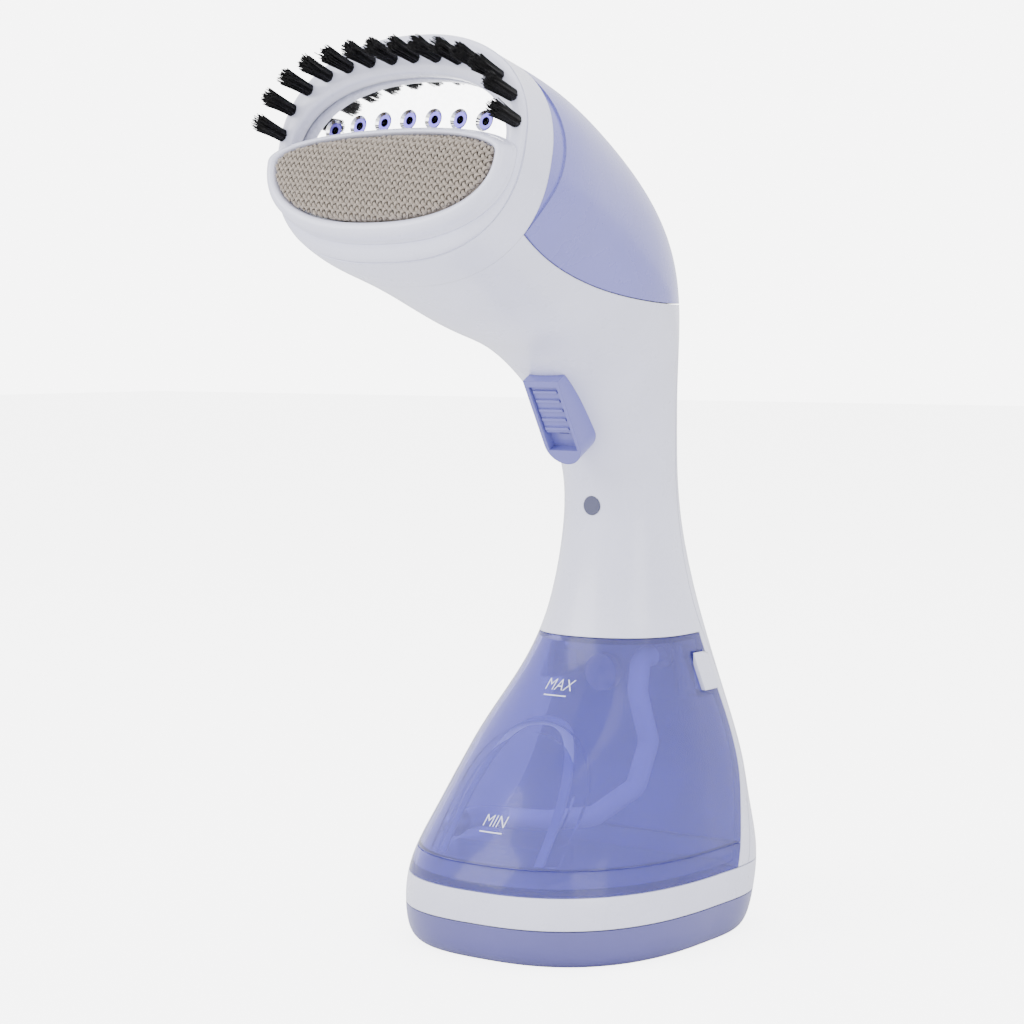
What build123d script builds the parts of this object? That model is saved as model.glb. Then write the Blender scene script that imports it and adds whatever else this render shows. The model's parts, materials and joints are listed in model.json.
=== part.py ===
from build123d import *
import os
from math import cos, sin, pi, copysign

# A handheld garment steamer: a waisted casing that leans forward into a steam head, with a clear
# water tank in the front of its base. Millimetres, +Z up, the steam head faces -Y.
# The origin is the middle of the base's underside.

# ---------------------------------------------------------------- driving dimensions
WALL = 2.2                 # casing wall
TANK_WALL = 2.0
CAP_WALL = 2.6
SEAM = 0.3                 # gap left between neighbouring mouldings
RUN = 0.4                  # clearance round pieces that come off

BASE_TOP = 12.4            # lavender base plate ends here
RING_TOP = 22.8            # white ring ends here, and the tank stands on it
TRAY_TOP = 30.4            # the tank's bottom tray ends here
TANK_TOP = 98.0            # the neck starts here
DECK = 2.2                 # level plates inside the casing
FLOOR = 2.6                # the base plate's floor
LIP_BOTTOM = 6.0           # lip of the base plate, inside the ring
LIP_TOP = BASE_TOP + 2.5

# Level rings of the casing, bottom to top: height, front Y, back Y, widest Y, half width,
# squareness of the front half, squareness of the back half.
LEVEL_RINGS = [
    (0.0, -52.0, 51.0, 5.0, 46.5, 2.6, 3.4),
    (4.0, -55.5, 53.5, 6.0, 49.0, 2.6, 3.4),
    (12.0, -57.0, 55.0, 7.0, 50.0, 2.6, 3.6),
    (21.0, -57.0, 56.0, 9.0, 50.5, 2.5, 3.6),
    (35.0, -50.5, 57.0, 12.0, 48.0, 2.4, 3.6),
    (46.0, -42.0, 57.5, 15.0, 45.0, 2.35, 3.5),
    (62.0, -29.0, 57.0, 19.0, 40.5, 2.3, 3.4),
    (80.0, -11.0, 56.0, 23.0, 33.5, 2.3, 3.2),
    (98.0, 1.5, 54.5, 27.0, 26.8, 2.2, 2.9),
    (122.0, 8.5, 51.0, 28.0, 21.5, 2.1, 2.4),
    (142.0, 10.5, 47.5, 28.0, 19.5, 2.1, 2.2),
    (160.0, 5.5, 45.5, 26.0, 19.8, 2.1, 2.2),
]
# Tilted rings of the head, neck to face: centre Y, centre Z, tilt, half width, reach below,
# reach above, squareness below, squareness above.
HEAD_RINGS = [
    (17.0, 185.0, 18.0, 24.0, 25.5, 27.5, 2.1, 2.2),
    (3.0, 207.0, 38.0, 32.0, 30.0, 36.0, 2.1, 2.2),
    (-21.0, 227.0, 58.0, 38.0, 36.5, 37.0, 2.2, 2.2),
    (-47.0, 240.5, 70.0, 42.5, 40.0, 36.0, 2.2, 2.2),
    (-73.0, 249.5, 76.0, 46.0, 39.0, 35.0, 2.3, 2.2),
    (-96.0, 256.5, 78.0, 48.0, 35.0, 34.0, 2.4, 2.2),
]
FACE_TILT = 78.0

# Where the mouldings part, drawn from the side as (Y, Z).
TANK_BACK = [(23.5, 22.8), (30.0, 35.6), (35.0, 46.0), (37.8, 57.0), (38.6, 69.0), (38.0, 84.0),
             (37.0, 98.3)]
SHELL_PARTING = [(31.0, 22.8), (37.0, 35.6), (41.5, 47.0), (44.0, 60.0), (44.0, 84.0), (39.0, 102.0),
                 (36.0, 122.0), (34.0, 150.0), (31.0, 177.0), (24.0, 213.0)]
CAP_EDGE = [(-83.4, 228.2), (-62.6, 219.9), (-33.4, 212.7), (-3.2, 209.4), (25.0, 209.0), (75.0, 209.5)]
BAY_WALL = 2.2             # white wall behind the tank

# The head's face: distances are measured out of it, and these are all inside it.
COLLAR_FRONT = -3.8
COLLAR_DEPTH = -18.2
NOZZLE_BACK = -3.5
NOZZLE_FRONT = -1.0
THROAT_BACK = -5.8
PLATE_FRONT = -6.4
PLATE_BACK = -8.0
PLATE_REACH = (43.6, 29.8, 29.2)     # half width, below and above the middle
NOZZLE_REACH = (46.8, 36.5, 33.2)
GASKET_BACK = -9.2
CHAMBER_BACK = -20.0
BOILER_BACK = -33.0
SHIELD_FRONT = -46.0

WINDOW_HALF = 41.0         # opening for the steam
PORT_COUNT = 7
PORT_PITCH = 9.6
PORT_RISE = 8.0            # height of the middle port
PORT_BOW = 1.7             # how far the end ports drop
PORT_RADIUS = 1.3
INSERT_RADIUS = 2.3
TUFT_COUNT = 14
TUFT_LENGTH = 12.3
TUFT_RADIUS = 1.8
TUFT_FLARE = 0.9
TUFT_ROOT = 0.6            # a tuft starts this far inside the ring, and is cut off at its front
TUFT_LEAN = 4.0            # tufts lean up from square to the face

SWITCH_TOP = (-19.5, 183.6)
SWITCH_BOTTOM = (-3.5, 156.0)
SWITCH_HALF = 7.0
SLOT_HALF = 5.6
SLOT_TOP = 13.6
SLOT_BOTTOM = -10.6
SLOT_DEPTH = 3.4
KNOB_LENGTH = 17.6
SWITCH_TRAVEL = 5.5

TAB_TRAVEL = 2.0
TAB_Y = (27.5, 36.8)
TAB_Z = (80.0, 92.3)
TAB_PROUD = 1.2
TAB_FLOOR = 27.4           # how far in the tank's notch for a tab goes
STEM_X = (24.0, 26.6)      # stem of a release tab, out from the middle
STEM_Z = (84.0, 88.5)
STEM_Y = (33.5, 42.4)
UPPER_BOSS_Y = 24.0        # front end of the upper screw's boss

PUMP_AXIS = (0.0, 30.5)
PUMP_BOTTOM = 114.0
PUMP_TOP = 152.0
PLUNGER_RADIUS = 4.5
PLUNGER_LENGTH = 18.0
PLUNGER_BOTTOM = PUMP_BOTTOM + 4.0
COIL_Z = (119.0, 140.0)

CORD_BORE = 3.6            # takes a mains lead of about 7 mm
GLAND_Z = 34.0
LENS_Z = 141.6
LENS_RADIUS = 3.2
SCREW_HEIGHTS = (56.0, 84.0, 170.0)
HOSE_RADIUS = 3.5
DOCK = (13.0, 90.0)        # X and Z of the tank's outlet
FILLER = (-11.0, 82.0)     # X and Z of the tank's filling hole
FILLER_RADIUS = 6.5
INLET = (11.0, 9.0)        # where water enters the boiler, across and up its back
PICKUP_ROUTE = [(13.0, 27.0, 90.0), (13.0, 21.0, 90.0), (14.0, 17.5, 79.0), (17.0, 20.0, 62.0),
                (14.5, 16.0, 47.0), (5.0, 5.0, 37.5), (-11.0, 0.5, 35.0), (-25.0, -1.0, 34.5),
                (-33.0, -8.0, 35.5), (-33.5, -19.0, 35.5)]
FILTER_CENTRE = (-31.5, -24.5, 36.0)
FILTER_RADIUS = 4.6

# Screws, bosses and feet.
SHANK_RADIUS = 1.35
HEAD_RADIUS = 2.8
HEAD_HEIGHT = 1.8
SHANK_HOLE = 1.7
PILOT_HOLE = 1.4
BOSS_RADIUS = 3.6
WELL_RADIUS = 4.4
WELL_FLOOR = 3.0
POST_RADIUS = 4.0
POST_TOP = 9.0
FOOT_RADIUS = 5.5
FOOT_HEIGHT = 1.5
UPPER_WEB_Z = (168.8, 171.2)

# Pieces that plug into the walls.
GLAND_RADIUS = 6.2
GLAND_FLANGE = 8.4
GLAND_Y = (49.0, 57.9, 60.0)     # inner end, flange, outer end
DOCK_RADIUS = 4.5
DOCK_FLANGE = 6.5
DOCK_BACK = 44.5
SPOUT_RADIUS = 2.6
SPOUT_BORE = 1.5
HOUSING_DEPTH = 26.0
STEM_SLOT = ((-1.9, 1.9), (-6.0, 7.4))
LOOM_GAP_X = (-20.0, 12.0)
LOOM_GAP_Y = (37.0, 50.0)
PUMP_SHELL = 6.2           # outside of the pump's sleeve
PUMP_BARB = 4.0
WATER_BORE = 1.2
BARB_RADIUS = 2.4

OVERSIZE = 90.0            # half width of cutting blocks
SITTING = (Align.CENTER, Align.CENTER, Align.MIN)

# ---------------------------------------------------------------- shared helpers


def power(value, exponent):
    """A power that keeps its sign."""
    return copysign(abs(value) ** exponent, value)


def lobe_points(half_width, below, above, n_below, n_above, count=40):
    """Points of a superellipse whose lower and upper halves differ."""
    points = []
    for i in range(count):
        angle = 2 * pi * i / count
        upper = sin(angle) > 0
        reach, n = (above, n_above) if upper else (below, n_below)
        points.append((half_width * power(cos(angle), 2 / n), reach * power(sin(angle), 2 / n)))
    return points


def closed_face(points):
    """A face inside one smooth closed curve."""
    return Face(Wire([Edge.make_spline([Vector(*p) for p in points], periodic=True)]))


def ring_face(y, z, tilt, half_width, below, above, n_below, n_above, inset):
    """A ring of the casing, tipped about X."""
    rise, run = sin(tilt * pi / 180), cos(tilt * pi / 180)
    flat = lobe_points(half_width - inset, below - inset, above - inset, n_below, n_above)
    return closed_face([(u, y + v * run, z + v * rise) for u, v in flat])


def casing_form(inset=0.0):
    """The whole casing as one solid, shrunk by the inset."""
    faces = []
    for z, front, back, middle, half, n_front, n_back in LEVEL_RINGS:
        faces.append(ring_face(middle, z, 0, half, middle - front, back - middle, n_front, n_back, inset))
    for ring in HEAD_RINGS:
        faces.append(ring_face(*ring, inset))
    return loft(faces)


def largest(shape):
    """The biggest solid of a result, without stray faces or crumbs."""
    return max(shape.solids(), key=lambda solid: solid.volume)


def curve_block(curve, corners, low_x=-OVERSIZE, high_x=OVERSIZE):
    """A block bounded by a smooth curve and by straight runs through the corners."""
    at = [(low_x, y, z) for y, z in curve]
    rest = [at[-1]] + [(low_x, y, z) for y, z in corners] + [at[0]]
    outline = Spline(*at) + Polyline(*rest)
    return extrude(make_face(outline), amount=high_x - low_x, dir=(1, 0, 0))


def shifted(curve, dy=0.0, dz=0.0):
    """The same curve moved in the Y-Z plane."""
    return [(y + dy, z + dz) for y, z in curve]


def block(x, y, z):
    """A level box given as three (low, high) pairs."""
    size = [high - low for low, high in (x, y, z)]
    middle = [(high + low) / 2 for low, high in (x, y, z)]
    return Pos(*middle) * Box(*size)


def layer(low, high):
    """Everything between two heights."""
    return block((-OVERSIZE, OVERSIZE), (-OVERSIZE, OVERSIZE), (low, high))


def rod(start, end, radius):
    """A solid round bar between two points."""
    way = Vector(*end) - Vector(*start)
    return extrude(Plane(origin=start, z_dir=way) * Circle(radius), amount=way.length)


def tube(start, end, radius, bore):
    """A round tube between two points."""
    way = Vector(*end) - Vector(*start)
    profile = Circle(radius) - Circle(bore)
    return extrude(Plane(origin=start, z_dir=way) * profile, amount=way.length)


def hose(points, bends, radius, bore=0.0):
    """A round hose or wire along straight runs joined by arcs."""
    path = FilletPolyline(*points, radius=bends)
    profile = Circle(radius) - Circle(bore) if bore else Circle(radius)
    return sweep(Plane(origin=path @ 0, z_dir=path % 0) * profile, path=path)


def coil(radius, wire, height, turns, place):
    """A helical spring with its first end at the place, running along its Z."""
    path = Helix(pitch=height / turns, height=height, radius=radius)
    profile = Plane(origin=path @ 0, z_dir=path % 0) * Circle(wire)
    return place * sweep(profile, path=path, is_frenet=True)


# The head's face and the switch face, as working planes.
face_angle = FACE_TILT * pi / 180
FACE = Plane(origin=(0, HEAD_RINGS[-1][0], HEAD_RINGS[-1][1]), x_dir=(1, 0, 0),
             z_dir=(0, -sin(face_angle), cos(face_angle)))
switch_run = Vector(0, SWITCH_BOTTOM[0] - SWITCH_TOP[0], SWITCH_BOTTOM[1] - SWITCH_TOP[1])
SWITCH_LENGTH = switch_run.length
SWITCH_DOWN = switch_run.normalized()
SWITCH = Plane(origin=(0, (SWITCH_TOP[0] + SWITCH_BOTTOM[0]) / 2, (SWITCH_TOP[1] + SWITCH_BOTTOM[1]) / 2),
               x_dir=(1, 0, 0), z_dir=(0, SWITCH_DOWN.Z, -SWITCH_DOWN.Y))


def lobe_plate(low, high, half_width, below, above, centre=0.0, n_below=2.3, n_above=2.2):
    """A plate parallel to the face, between two distances out of it."""
    points = lobe_points(half_width, below, above, n_below, n_above)
    flat = closed_face([(u, v + centre, 0) for u, v in points])
    return FACE.offset(low) * extrude(flat, amount=high - low)


def face_slab(low, high):
    """Everything between two distances out of the face."""
    return FACE.offset(low) * extrude(Rectangle(2 * OVERSIZE, 4 * OVERSIZE), amount=high - low)


def on_face(u, v, out=0.0):
    """A point given across, up and out of the face."""
    return FACE.from_local_coords(Vector(u, v, out))


def switch_block(x, y, z):
    """A box in the switch face's own directions."""
    return SWITCH * block(x, y, z)


# ---------------------------------------------------------------- casing
form = casing_form()
core = casing_form(WALL)
deep_core = casing_form(2 * WALL)
skin = form - core

screw_points = [(0.0, z) for z in SCREW_HEIGHTS]
base_screw_spots = [(sx * 37.0, y) for sx in (-1, 1) for y in (-12.0, 30.0)]
foot_spots = [(-27.0, -37.0), (27.0, -37.0), (-33.0, 42.0), (33.0, 42.0)]
above_ring = block((-OVERSIZE, OVERSIZE), (-150, OVERSIZE), (RING_TOP + SEAM / 2, 330))
before_collar = face_slab(COLLAR_DEPTH - 0.02, 60)


def parting_block(rear):
    """The space behind (or before) the line where front and rear shells meet."""
    gap = SEAM / 2 if rear else -SEAM / 2
    far = OVERSIZE if rear else -2 * OVERSIZE
    curve = shifted(SHELL_PARTING, dy=gap)
    return curve_block(curve, [(curve[-1][0], 320.0), (far, 320.0), (far, 0.0), (curve[0][0], 0.0)])


def cap_block(edge_shift=0.0, front_shift=0.0):
    """The space above the cap's lower edge and behind the collar."""
    edge = shifted(CAP_EDGE, dz=edge_shift)
    top_front = on_face(0, 80, COLLAR_DEPTH + front_shift)
    edge[0] = (on_face(0, -24.8, COLLAR_DEPTH + front_shift).Y, edge[0][1])
    return curve_block(edge, [(75.0, 330.0), (top_front.Y, 330.0), (top_front.Y, top_front.Z)])


def base_plate():
    """Lavender foot of the casing, with its floor, screw posts and foot recesses."""
    plate = form & layer(0, BASE_TOP - SEAM / 2)
    plate -= core & layer(FLOOR, BASE_TOP)
    lip = core & layer(LIP_BOTTOM, LIP_TOP)
    plate += lip - (deep_core & layer(LIP_BOTTOM - 1, LIP_TOP + 1))
    for x, y in base_screw_spots:
        plate += rod((x, y, 1.0), (x, y, POST_TOP), POST_RADIUS + 0.2)
        plate -= rod((x, y, 0.0), (x, y, 2.4), HEAD_RADIUS + 0.5)
        plate -= rod((x, y, 0.0), (x, y, BASE_TOP), SHANK_HOLE)
    for x, y in foot_spots:
        plate -= rod((x, y, 0.0), (x, y, FOOT_HEIGHT), FOOT_RADIUS)
    return plate


def base_ring():
    """White ring and deck that the tank stands on."""
    ring = form & layer(BASE_TOP + SEAM / 2, RING_TOP - SEAM / 2)
    ring -= core & layer(BASE_TOP, RING_TOP - DECK)
    for x, y in base_screw_spots:
        ring += rod((x, y, POST_TOP + SEAM), (x, y, RING_TOP - DECK + SEAM), POST_RADIUS)
        ring -= rod((x, y, POST_TOP), (x, y, POST_TOP + 9.0), PILOT_HOLE)
    return ring - block(LOOM_GAP_X, LOOM_GAP_Y, (15, 25))


def bay_plate(gap, depth):
    """A full-width sheet that follows the back of the tank."""
    near = shifted(TANK_BACK, dy=gap)
    far = shifted(TANK_BACK, dy=gap + depth)
    sheet = curve_block(near, [(OVERSIZE, near[-1][1]), (OVERSIZE, near[0][1])])
    sheet -= curve_block(far, [(OVERSIZE, far[-1][1]), (OVERSIZE, far[0][1])])
    return sheet & layer(RING_TOP + SEAM / 2, TANK_TOP + RUN)


def tank_space(gap):
    """Everything in front of the tank's back, between the ring and the neck."""
    back = shifted(TANK_BACK, dy=gap)
    return curve_block(back, [(-OVERSIZE, back[-1][1]), (-OVERSIZE, back[0][1])])


def tab_block(side, clearance, depth):
    """The room of a release tab, cut in from one side."""
    low_y, high_y = TAB_Y[0] - clearance, TAB_Y[1] + clearance
    low_z, high_z = TAB_Z[0] - clearance, TAB_Z[1] + clearance
    xs = (depth, OVERSIZE) if side > 0 else (-OVERSIZE, -depth)
    return block(xs, (low_y, high_y), (low_z, high_z))


def stem_block(side, clearance, ys):
    """The room of a release tab's stem and web, over their whole travel."""
    xs = sorted((side * (STEM_X[0] - TAB_TRAVEL - clearance), side * (TAB_FLOOR + clearance)))
    return block(xs, ys, (STEM_Z[0] - clearance, STEM_Z[1] + clearance))


def front_shell():
    """White front of the neck, with the wall and rails behind the tank."""
    zone = parting_block(rear=False) - cap_block(edge_shift=-SEAM)
    zone &= above_ring
    zone -= tank_space(0.0)
    zone -= before_collar
    shell = skin & zone
    shell += (core & bay_plate(0.0, BAY_WALL)) & parting_block(rear=False)
    deck = core & layer(TANK_TOP + RUN, TANK_TOP + RUN + DECK)
    shell += deck & parting_block(rear=False)
    shell -= switch_block(*STEM_SLOT, (-HOUSING_DEPTH, 2))
    shell -= rod((0, 0, LENS_Z), (0, 20, LENS_Z), LENS_RADIUS + 0.05)
    shell += core & block((-40, 0), (UPPER_BOSS_Y, 31.0), UPPER_WEB_Z)
    for x, z in screw_points:
        seat = back_y(z) + BAY_WALL - 0.4 if z < TANK_TOP else UPPER_BOSS_Y
        end = parting_y(z) - 2 * SEAM
        shell += rod((x, seat, z), (x, end, z), BOSS_RADIUS)
        shell -= rod((x, seat + 0.4, z), (x, end + 1, z), PILOT_HOLE)
    x, z = DOCK
    shell -= rod((x, 30.0, z), (x, 44.0, z), DOCK_RADIUS + 0.1)
    shell -= rod((x, back_y(z) + BAY_WALL - 1.0, z), (x, 44.0, z), DOCK_FLANGE + 0.1)
    for side in (-1, 1):
        shell -= stem_block(side, RUN, (STEM_Y[0] + 2.5, STEM_Y[1] + 1.2))
    return shell


def parting_y(z):
    """Y of the parting line at a height, straight between its points."""
    for (y0, z0), (y1, z1) in zip(SHELL_PARTING, SHELL_PARTING[1:]):
        if z0 <= z <= z1:
            return y0 + (y1 - y0) * (z - z0) / (z1 - z0)
    raise ValueError(z)


def rear_shell():
    """White back of the casing, with its screw wells and the hole for the cord gland."""
    zone = parting_block(rear=True) - cap_block(edge_shift=-SEAM)
    zone &= above_ring
    zone -= before_collar
    shell = skin & zone
    for x, z in screw_points:
        start = parting_y(z) + SEAM / 2
        shell += rod((x, start, z), (x, 62, z), WELL_RADIUS) & core
        shell -= rod((x, start + WELL_FLOOR, z), (x, 70, z), HEAD_RADIUS + 0.5)
        shell -= rod((x, start - 1.0, z), (x, start + WELL_FLOOR + 1.0, z), SHANK_HOLE)
    return shell - rod((0, 40, GLAND_Z), (0, 70, GLAND_Z), GLAND_RADIUS)


def head_cap():
    """Lavender cover over the top and back of the head, stepped in along its front edge."""
    zone = cap_block(front_shift=-SEAM)
    thick = form - casing_form(CAP_WALL)
    cap = thick & zone
    step_back = [on_face(0, v, COLLAR_DEPTH - reach) for v, reach in
                 ((22.0, 0.4), (13.0, 5.0), (4.0, 7.2), (-6.0, 6.6), (-15.0, 3.2), (-25.5, 0.4))]
    curve = [(p.Y, p.Z) for p in step_back]
    ahead = [on_face(0, v, COLLAR_DEPTH + 2) for v in (-26.0, 22.5)]
    step = curve_block(curve, [(p.Y, p.Z) for p in ahead])
    cap -= step - casing_form(0.55)
    return cap


def head_collar():
    """White rim of the head, in front of the cap."""
    band = skin & face_slab(COLLAR_DEPTH, COLLAR_FRONT)
    seat = lobe_plate(PLATE_BACK - 2.0, PLATE_BACK, 46.5, 33.2, 32.2) - lobe_plate(
        PLATE_BACK - 3.0, PLATE_BACK + 1.0, 39.5, 26.0, 26.0)
    return band + (seat & core)


# ---------------------------------------------------------------- steam head
def port_spots():
    """Across and up positions of the steam ports, on a shallow arc."""
    half = (PORT_COUNT - 1) / 2
    return [((i - half) * PORT_PITCH, PORT_RISE - PORT_BOW * ((i - half) / half) ** 2) for i in range(PORT_COUNT)]


def steam_plate():
    """Polished plate that closes the boiler, with a countersunk hole at each port."""
    plate = lobe_plate(PLATE_BACK, PLATE_FRONT, *PLATE_REACH)
    for u, v in port_spots():
        sink = Pos(u, v, 0) * Cone(INSERT_RADIUS - 0.1, INSERT_RADIUS + 0.9, 1.0,
                                   align=(Align.CENTER, Align.CENTER, Align.MAX))
        plate -= FACE.offset(PLATE_FRONT + 0.001) * sink
        plate -= rod(on_face(u, v, PLATE_BACK - 1), on_face(u, v, PLATE_FRONT), INSERT_RADIUS)
    return plate


def port_inserts():
    """Flanged jets pressed into the steam plate."""
    jets = []
    for u, v in port_spots():
        jets.append(tube(on_face(u, v, PLATE_BACK), on_face(u, v, PLATE_FRONT - 0.7),
                         INSERT_RADIUS, PORT_RADIUS))
    return jets


def plate_gasket():
    """Seal between the plate and the boiler."""
    return lobe_plate(GASKET_BACK, PLATE_BACK, 37.5, 24.5, 24.5) - lobe_plate(
        GASKET_BACK - 1, PLATE_BACK + 1, 34.0, 21.0, 21.0)


ELEMENT_LEGS = 24.0
ELEMENT_RADIUS = 3.0


def heating_element():
    """U-shaped heater cast into the boiler, with both ends out of its back."""
    spots = [(-ELEMENT_LEGS, -2, -42), (-ELEMENT_LEGS, -2, -27), (ELEMENT_LEGS, -2, -27),
             (ELEMENT_LEGS, -2, -42)]
    return hose([on_face(*spot) for spot in spots], 6.0, ELEMENT_RADIUS)


def boiler_block():
    """Cast block with the steam chamber in its front."""
    blank = lobe_plate(BOILER_BACK, GASKET_BACK, 38.5, 25.5, 25.5)
    blank -= lobe_plate(CHAMBER_BACK, GASKET_BACK + 1, 34.0, 21.0, 21.0)
    blank -= rod(on_face(*INLET, CHAMBER_BACK + 1), on_face(*INLET, BOILER_BACK - 1), 2.5)
    return blank - heating_element()


def boiler_inlet():
    """Brass barb that lets water into the boiler."""
    barb = tube(on_face(*INLET, CHAMBER_BACK), on_face(*INLET, BOILER_BACK - 9.0), 2.5, 1.4)
    return barb + tube(on_face(*INLET, BOILER_BACK), on_face(*INLET, BOILER_BACK - 1.5), 4.0, 1.4)


def thermostat():
    """Bimetal disc with two tabs, on the boiler's back."""
    body = rod(on_face(-9, 9, BOILER_BACK), on_face(-9, 9, BOILER_BACK - 7.0), 7.5)
    for u in (-13.0, -5.0):
        body += FACE * block((u - 2.2, u + 2.2), (8.6, 9.4), (BOILER_BACK - 12.0, BOILER_BACK - 6.5))
    return body


def thermal_fuse():
    """One-shot fuse clipped to the boiler's back."""
    body = rod(on_face(-8, -14, BOILER_BACK - 2.1), on_face(8, -14, BOILER_BACK - 2.1), 2.0)
    return body + FACE * block((-3, 3), (-16.5, -11.5), (BOILER_BACK - 0.9, BOILER_BACK))


def heat_shield():
    """Mica-faced sheet between the boiler and the grip."""
    sheet = lobe_plate(SHIELD_FRONT - 1.0, SHIELD_FRONT, 36.0, 24.0, 24.0)
    return sheet - rod(on_face(*INLET, SHIELD_FRONT - 2), on_face(*INLET, SHIELD_FRONT + 1), 4.5)


# ---------------------------------------------------------------- nozzle attachment
def nozzle_ring():
    """Oval front ring with the steam window and its throat."""
    ring = lobe_plate(NOZZLE_BACK, NOZZLE_FRONT, *NOZZLE_REACH, n_below=2.5)
    window = lobe_plate(NOZZLE_BACK - 10, NOZZLE_FRONT + 5, WINDOW_HALF, 4.5, 22.8, centre=-2.0)
    throat = lobe_plate(THROAT_BACK, NOZZLE_BACK, WINDOW_HALF + 1.5, 6.0, 24.3, centre=-2.0)
    return ring + throat - window


def tuft_spots():
    """Evenly spaced roots along the upper half of the ring."""
    fine = 400
    arc = []
    for i in range(fine + 1):
        angle = 0.03 * pi + 0.94 * pi * i / fine
        arc.append((44.6 * power(cos(angle), 2 / 2.5), 25.4 * power(sin(angle), 2 / 2.5)))
    run = [0.0]
    for (u0, v0), (u1, v1) in zip(arc, arc[1:]):
        run.append(run[-1] + ((u1 - u0) ** 2 + (v1 - v0) ** 2) ** 0.5)
    spots = []
    for k in range(TUFT_COUNT):
        goal = run[-1] * k / (TUFT_COUNT - 1)
        near = min(range(fine + 1), key=lambda i: abs(run[i] - goal))
        spots.append(arc[near])
    return spots


def bristle_tufts():
    """A plain flared peg for each tuft of bristles."""
    lean = TUFT_LEAN * pi / 180
    pegs = []
    for u, v in tuft_spots():
        root = on_face(u, v, NOZZLE_FRONT)
        way = on_face(u, v + sin(lean), NOZZLE_FRONT + cos(lean)) - root
        peg = Plane(origin=root - way * TUFT_ROOT, z_dir=way) * Cone(
            TUFT_RADIUS, TUFT_RADIUS + TUFT_FLARE, TUFT_LENGTH + TUFT_ROOT, align=SITTING)
        pegs.append(peg & face_slab(NOZZLE_FRONT, 30))
    return pegs


def pad_frame():
    """Raised rim round the lint pad."""
    frame = lobe_plate(NOZZLE_FRONT, 3.6, 45.4, 24.6, 8.7, centre=-6.0)
    step = lobe_plate(3.6, 4.6, 44.0, 22.6, 8.0, centre=-6.2)
    return frame + step - lobe_plate(NOZZLE_FRONT + 1.4, 10, 41.8, 19.4, 7.0, centre=-6.6)


def pad_backing():
    """Foam board under the fabric."""
    return lobe_plate(NOZZLE_FRONT + 1.4, 3.0, 41.4, 19.0, 6.6, centre=-6.6)


def lint_pad():
    """Crowned fabric pad."""
    base = lobe_plate(3.0, 4.6, 41.4, 19.0, 6.6, centre=-6.6)
    middle = lobe_plate(4.6, 5.8, 37.0, 16.0, 5.2, centre=-6.8)
    return base + middle


# ---------------------------------------------------------------- grip
def switch_housing():
    """Lavender bezel that stands off the grip, with a slot for the knob."""
    tongue = Pos(0, SWITCH_HALF / 2, 0) * Rectangle(2 * SWITCH_HALF, SWITCH_LENGTH - SWITCH_HALF)
    tongue += Pos(0, SWITCH_HALF - SWITCH_LENGTH / 2, 0) * Circle(SWITCH_HALF)
    body = SWITCH * extrude(tongue, amount=-HOUSING_DEPTH)
    body -= form
    body = body.solids().sort_by_distance(SWITCH.origin)[0]
    body -= switch_block((-SLOT_HALF, SLOT_HALF), (SLOT_BOTTOM, SLOT_TOP), (-SLOT_DEPTH, 2))
    return body - switch_block(*STEM_SLOT, (-HOUSING_DEPTH, 0))


def switch_knob():
    """Ribbed slider, at the top of its travel."""
    top = SLOT_TOP - 0.3
    low = top - KNOB_LENGTH
    knob = switch_block((-SLOT_HALF + 0.3, SLOT_HALF - 0.3), (low, top), (-SLOT_DEPTH + 0.3, -1.1))
    ribs = 5
    for i in range(ribs):
        y = low + 1.8 + i * (KNOB_LENGTH - 3.6) / (ribs - 1)
        knob += switch_block((-SLOT_HALF + 0.9, SLOT_HALF - 0.9), (y - 0.5, y + 0.5), (-1.1, -0.4))
    return knob + switch_block((-1.5, 1.5), (0.2, 7.0), (-13.0, -SLOT_DEPTH + 0.3))


def switch_body():
    """Slide switch behind the bezel, driven by the knob's stem."""
    body = switch_block((-6, 6), (-10, 11), (-21, -12.2))
    return body - switch_block((-2, 2), (-6.2, 7.5), (-13.6, -12))


def pilot_lens():
    """Domed light pipe in the grip."""
    start, tip = (0, 15.0, LENS_Z), (0, 10.3, LENS_Z)
    lens = rod(start, tip, LENS_RADIUS)
    flange = rod((0, 15.0, LENS_Z), (0, 13.6, LENS_Z), LENS_RADIUS + 0.9)
    return lens + flange


def pilot_lamp():
    """Neon lamp behind the lens."""
    return rod((0, 15.2, LENS_Z), (0, 16.0, LENS_Z), 1.6)


# ---------------------------------------------------------------- pump
def pump_coil():
    """Winding round the plunger's sleeve."""
    x, y = PUMP_AXIS
    return tube((x, y, COIL_Z[0]), (x, y, COIL_Z[1]), 10.5, PUMP_SHELL)


def pump_yoke():
    """Steel plates above and below the coil, joined down one side."""
    x, y = PUMP_AXIS
    low, high = COIL_Z
    sheet, front, back = 1.4, y - 11.5, y + 8.0
    yoke = block((x - 9, x + 9), (front, back), (low - sheet, low))
    yoke += block((x - 9, x + 9), (front, back), (high, high + sheet))
    yoke += block((x - 9, x + 9), (front - sheet, front), (low - sheet, high + sheet))
    return yoke - rod((x, y, PUMP_BOTTOM), (x, y, PUMP_TOP), PUMP_SHELL)


def pump_sleeve():
    """Plastic pump body: a guide for the plunger with a barb at each end."""
    x, y = PUMP_AXIS
    guide = tube((x, y, PUMP_BOTTOM), (x, y, PUMP_TOP), PUMP_SHELL, PLUNGER_RADIUS + 0.06)
    for z, way in ((PUMP_BOTTOM, -1), (PUMP_TOP, 1)):
        guide += tube((x, y, z - way * 1.5), (x, y, z), PUMP_SHELL, WATER_BORE)
        guide += tube((x, y, z), (x, y, z + way * PUMP_BARB), BARB_RADIUS, WATER_BORE)
    return guide


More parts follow.
